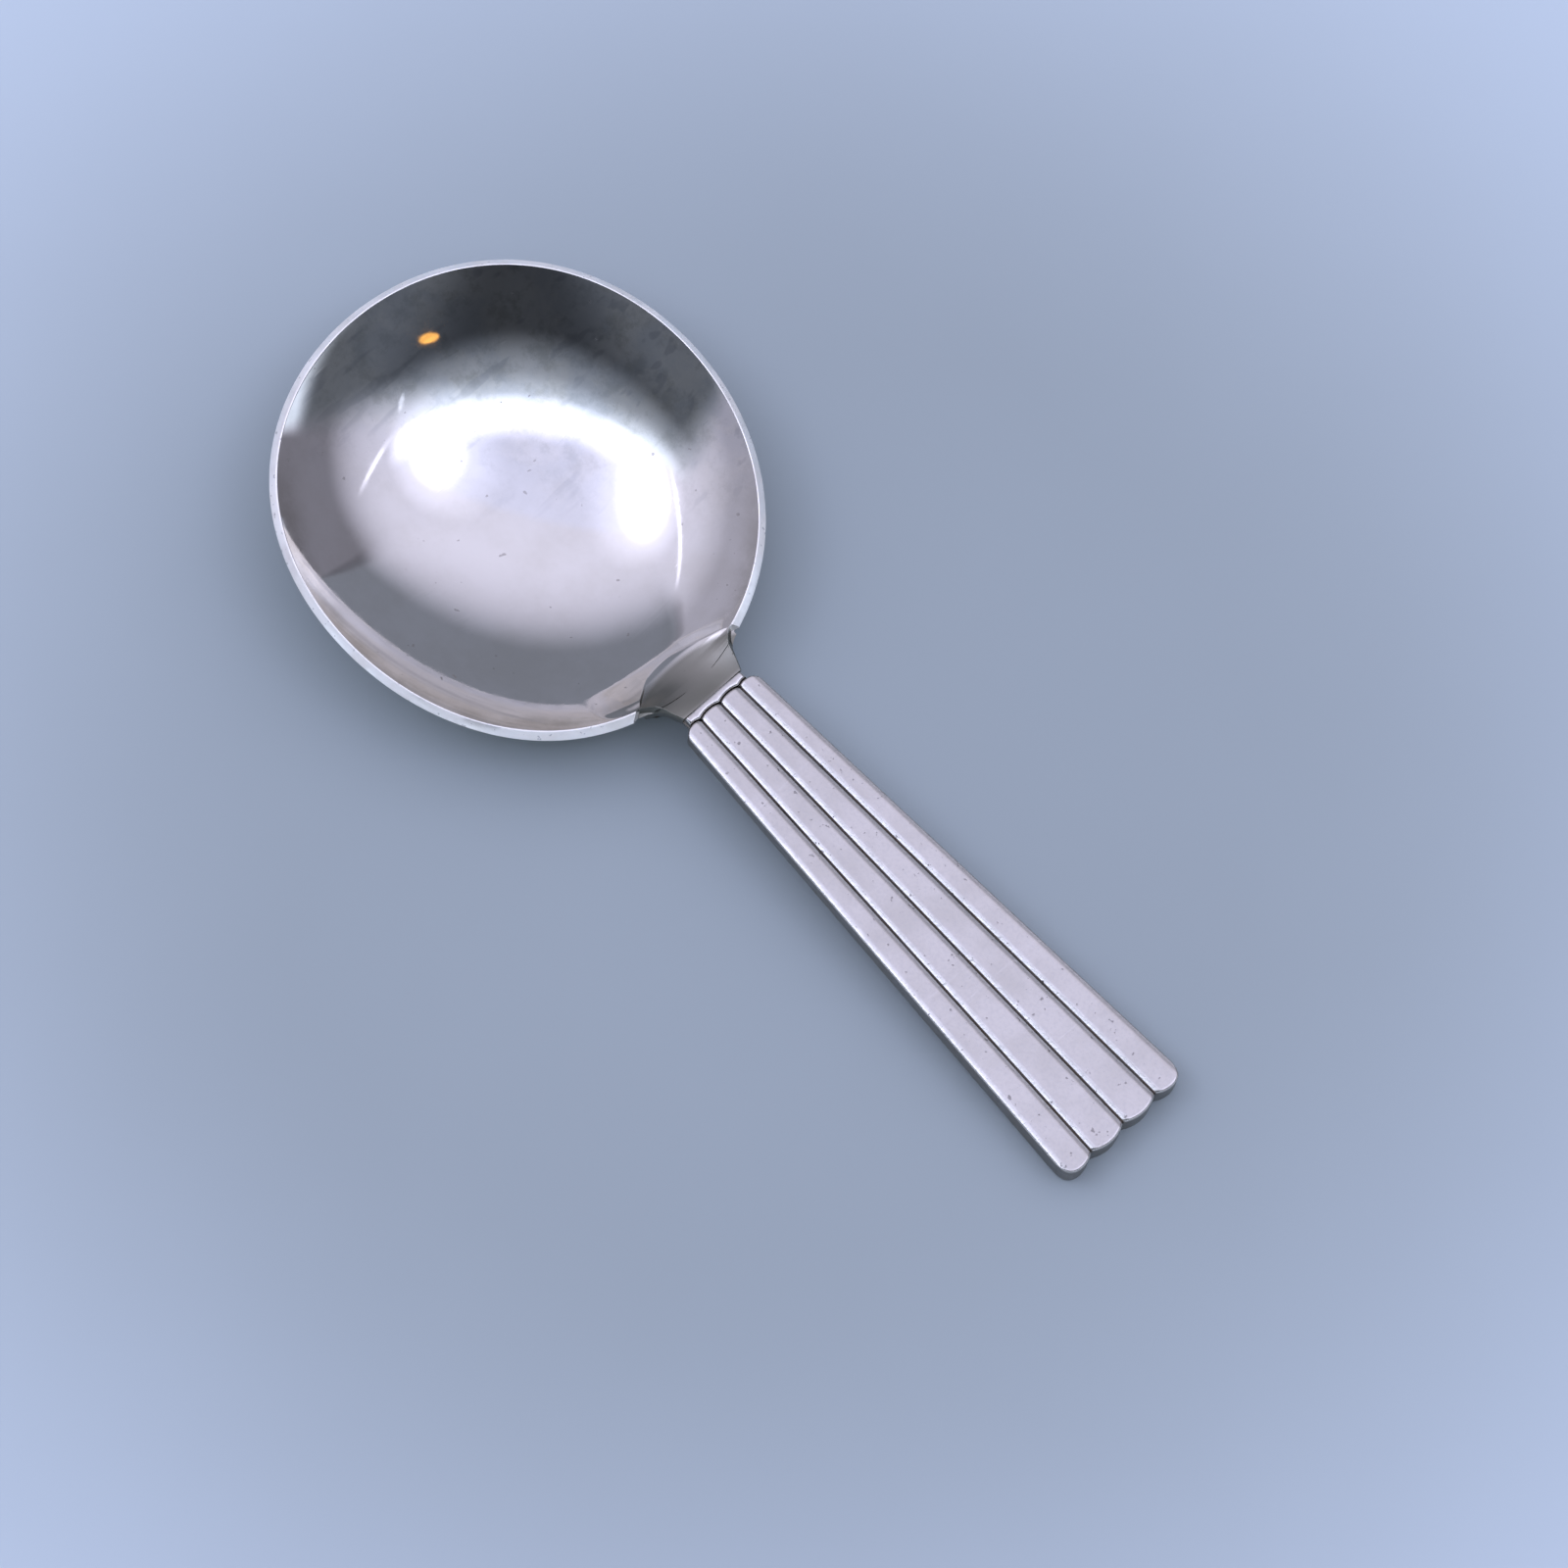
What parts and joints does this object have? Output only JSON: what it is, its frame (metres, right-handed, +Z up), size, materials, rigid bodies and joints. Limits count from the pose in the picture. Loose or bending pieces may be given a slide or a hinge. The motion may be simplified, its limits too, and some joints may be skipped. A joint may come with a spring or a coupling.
{
  "type": "caddy spoon",
  "caption": "Silver caddy spoon: a wide, deep round bowl, a short flared neck with a raised collar, and a flat tapering handle of long ribs with scalloped ends.",
  "frame": {"origin": "on the table, under the middle of the spoon's bounding box", "axes": "+X from the bowl to the handle's end, +Z up, with the spoon lying at rest on its bowl and on the handle's end"},
  "size_m": [0.1048, 0.0442, 0.0117],
  "materials": {
    "bowl": "polished silver, lightly tarnished",
    "neck": "polished silver, lightly tarnished",
    "collar": "satin silver",
    "handle": "satin silver"
  },
  "bodies": {
    "root": {"bowl": "bowl", "neck": "neck", "collar": "collar", "handle": "handle"}
  },
  "joints": []
}
